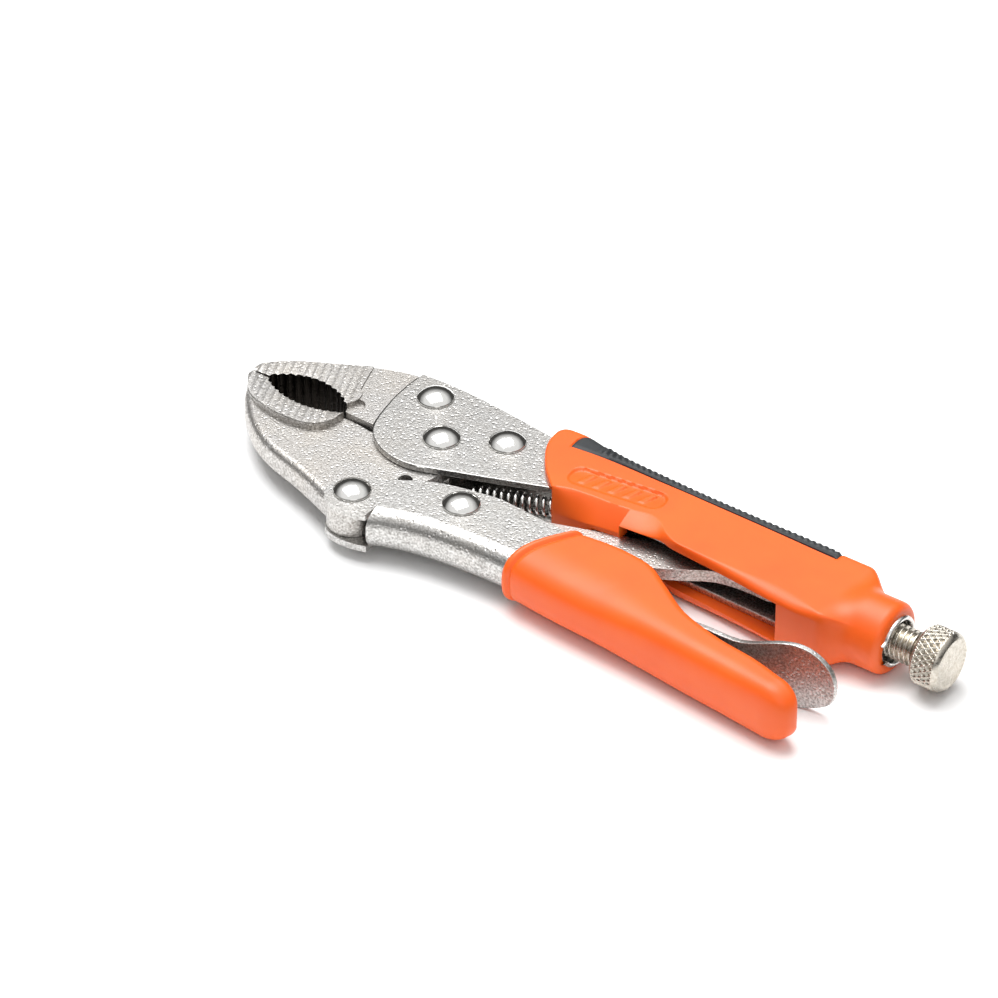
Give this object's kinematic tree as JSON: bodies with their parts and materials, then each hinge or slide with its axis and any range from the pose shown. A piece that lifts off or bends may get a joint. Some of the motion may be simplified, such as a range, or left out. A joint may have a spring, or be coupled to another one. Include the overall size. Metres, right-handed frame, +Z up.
{
  "type": "locking pliers",
  "caption": "Curved-jaw locking pliers with toggle-locked handles, a knurled adjusting screw, a release lever and soft sleeves on both handles",
  "frame": {"origin": "centre of the bounding box at the lowest face, with the pliers lying flat on their side", "axes": "+X from the jaws towards the adjusting knob along the screw, +Y towards the back of the fixed handle, +Z up along the rivets"},
  "size_m": [0.1802, 0.0542, 0.0163],
  "materials": {
    "plated_steel": "satin nickel and chrome plate over a fine shot-blasted surface",
    "forged_jaw": "satin nickel plate over a blasted forging",
    "bright_chrome": "polished bright plate",
    "screw_steel": "turned and nickel plated",
    "spring_steel": "bright zinc-plated wire",
    "orange_sleeve": "satin moulded thermoplastic rubber",
    "grey_strip": "matt moulded thermoplastic rubber with a pebbled back"
  },
  "bodies": {
    "fixed_handle": {"fixed_handle": "plated_steel", "thread_bush": "plated_steel", "cover": "orange_sleeve", "back_strip": "grey_strip", "fixed_jaw": "forged_jaw", "jaw_rivet_front": "bright_chrome", "jaw_rivet_rear": "bright_chrome", "jaw_pivot_rivet": "bright_chrome", "spring_pin": "plated_steel", "tension_spring": "spring_steel"},
    "lower_jaw": {"lower_jaw": "forged_jaw"},
    "moving_handle": {"moving_handle": "plated_steel", "grip": "orange_sleeve", "handle_pivot_rivet": "bright_chrome", "link_pivot_rivet": "bright_chrome", "lever_pin": "plated_steel"},
    "toggle_link": {"toggle_link": "forged_jaw"},
    "release_lever": {"release_lever": "plated_steel"},
    "adjusting_rod": {"adjusting_rod": "screw_steel"},
    "adjusting_knob": {"adjusting_knob": "screw_steel"}
  },
  "joints": [
    {"name": "jaw_hinge", "type": "hinge", "parent": "fixed_handle", "child": "lower_jaw", "pos_m": [-0.04022, 0.0087, 0.00815], "axis": [0, 0, 1], "range_deg": [0, 16], "deforming": ["tension_spring"]},
    {"name": "handle_hinge", "type": "hinge", "parent": "lower_jaw", "child": "moving_handle", "pos_m": [-0.04412, -0.0183, 0.00815], "axis": [0, 0, 1], "range_deg": [-62.4, 0]},
    {"name": "link_hinge", "type": "hinge", "parent": "moving_handle", "child": "toggle_link", "pos_m": [-0.02212, -0.0083, 0.00815], "axis": [0, 0, 1], "range_deg": [0, 64]},
    {"name": "lever_hinge", "type": "hinge", "parent": "moving_handle", "child": "release_lever", "pos_m": [0.02178, -0.0085, 0.00815], "axis": [0, 0, 1], "range_deg": [-2, 0]},
    {"name": "knob_turn", "type": "hinge", "parent": "adjusting_rod", "child": "adjusting_knob", "pos_m": [0.08578, 0.0129, 0.00815], "axis": [1, 0, 0], "range_deg": [0, 2160.1]},
    {"name": "screw_slide", "type": "slide", "parent": "fixed_handle", "child": "adjusting_rod", "axis": [1, 0, 0], "range_m": [0, 0.0075]}
  ],
  "couplings": [
    {"joint": "handle_hinge", "follows": "jaw_hinge", "ratio": -3.9},
    {"joint": "link_hinge", "follows": "jaw_hinge", "ratio": 4},
    {"joint": "knob_turn", "follows": "screw_slide", "rad_per_m": 5026.5}
  ]
}
